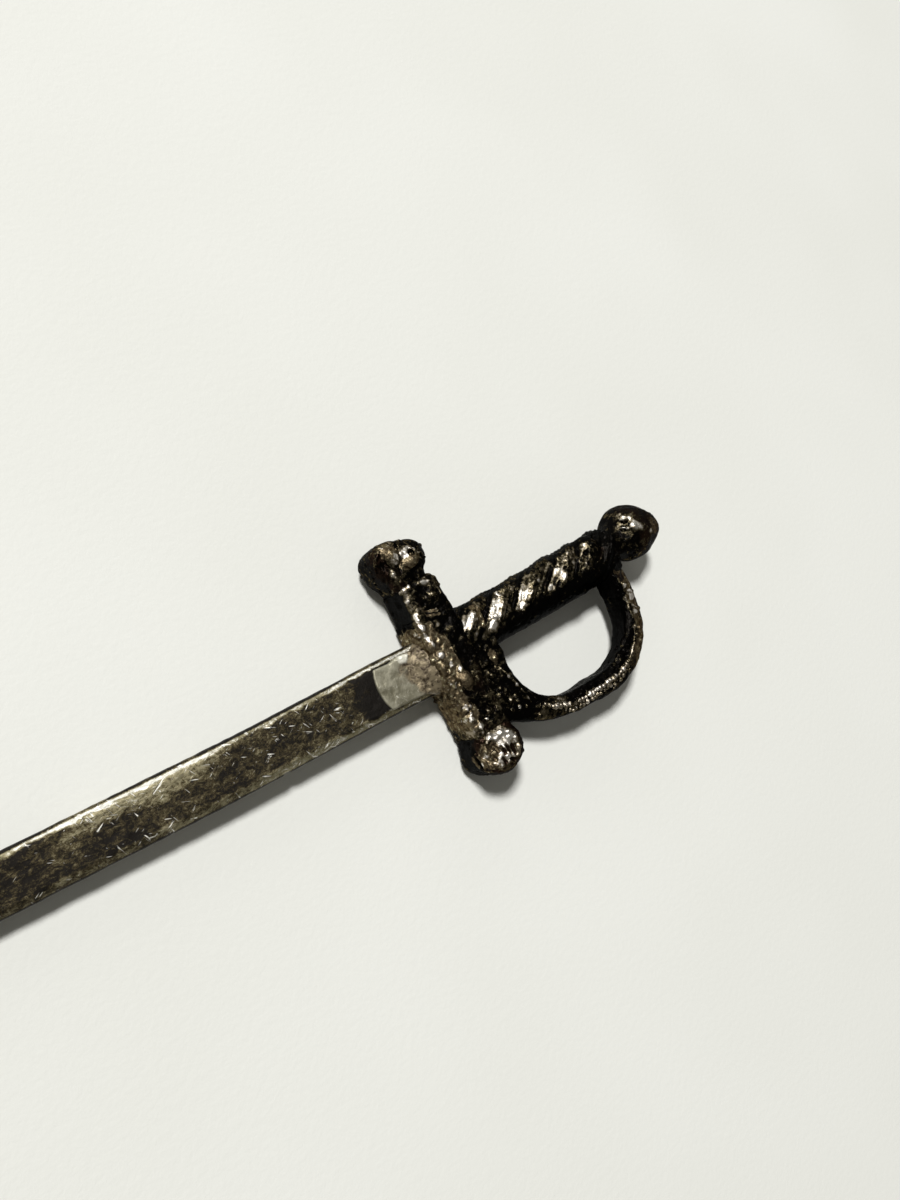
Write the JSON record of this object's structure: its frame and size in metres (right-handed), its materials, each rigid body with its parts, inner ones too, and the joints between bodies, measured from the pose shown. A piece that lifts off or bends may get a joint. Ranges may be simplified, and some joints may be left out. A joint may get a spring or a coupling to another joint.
{
  "type": "hat pin",
  "caption": "Miniature sword hat pin: flat pointed blade, crossguard with knobbed ends, twisted grip, D-shaped knuckle bow and ball pommel.",
  "frame": {"origin": "on the blade's centreline, half way through its thickness, where the blade meets the crossguard's front face", "axes": "+X along the blade's centreline towards the pommel (the point is at -X), +Y in the blade's plane away from the knuckle bow, +Z square to the flat of the blade"},
  "size_m": [0.0943, 0.0144, 0.0036],
  "materials": {
    "blade_metal": "worn silver, mottled with black and brown tarnish",
    "hilt_metal": "blackened cast metal, rubbed bright on the high points",
    "grip_metal": "blackened metal, the ribs rubbed bright",
    "bead_metal": "blackened metal with bright grains",
    "solder": "dull grey solder"
  },
  "bodies": {
    "root": {"blade": "blade_metal", "blade_solder": "solder", "crossguard": "hilt_metal", "quillon_finial_upper": "hilt_metal", "quillon_finial_lower": "hilt_metal", "tang_rod": "blade_metal", "grip_wire_1": "grip_metal", "grip_wire_2": "grip_metal", "grip_wire_3": "grip_metal", "grip_wire_4": "grip_metal", "pommel": "hilt_metal", "pommel_rivet": "hilt_metal", "knuckle_bow": "hilt_metal", "bow_bead_wire": "bead_metal"}
  },
  "joints": []
}
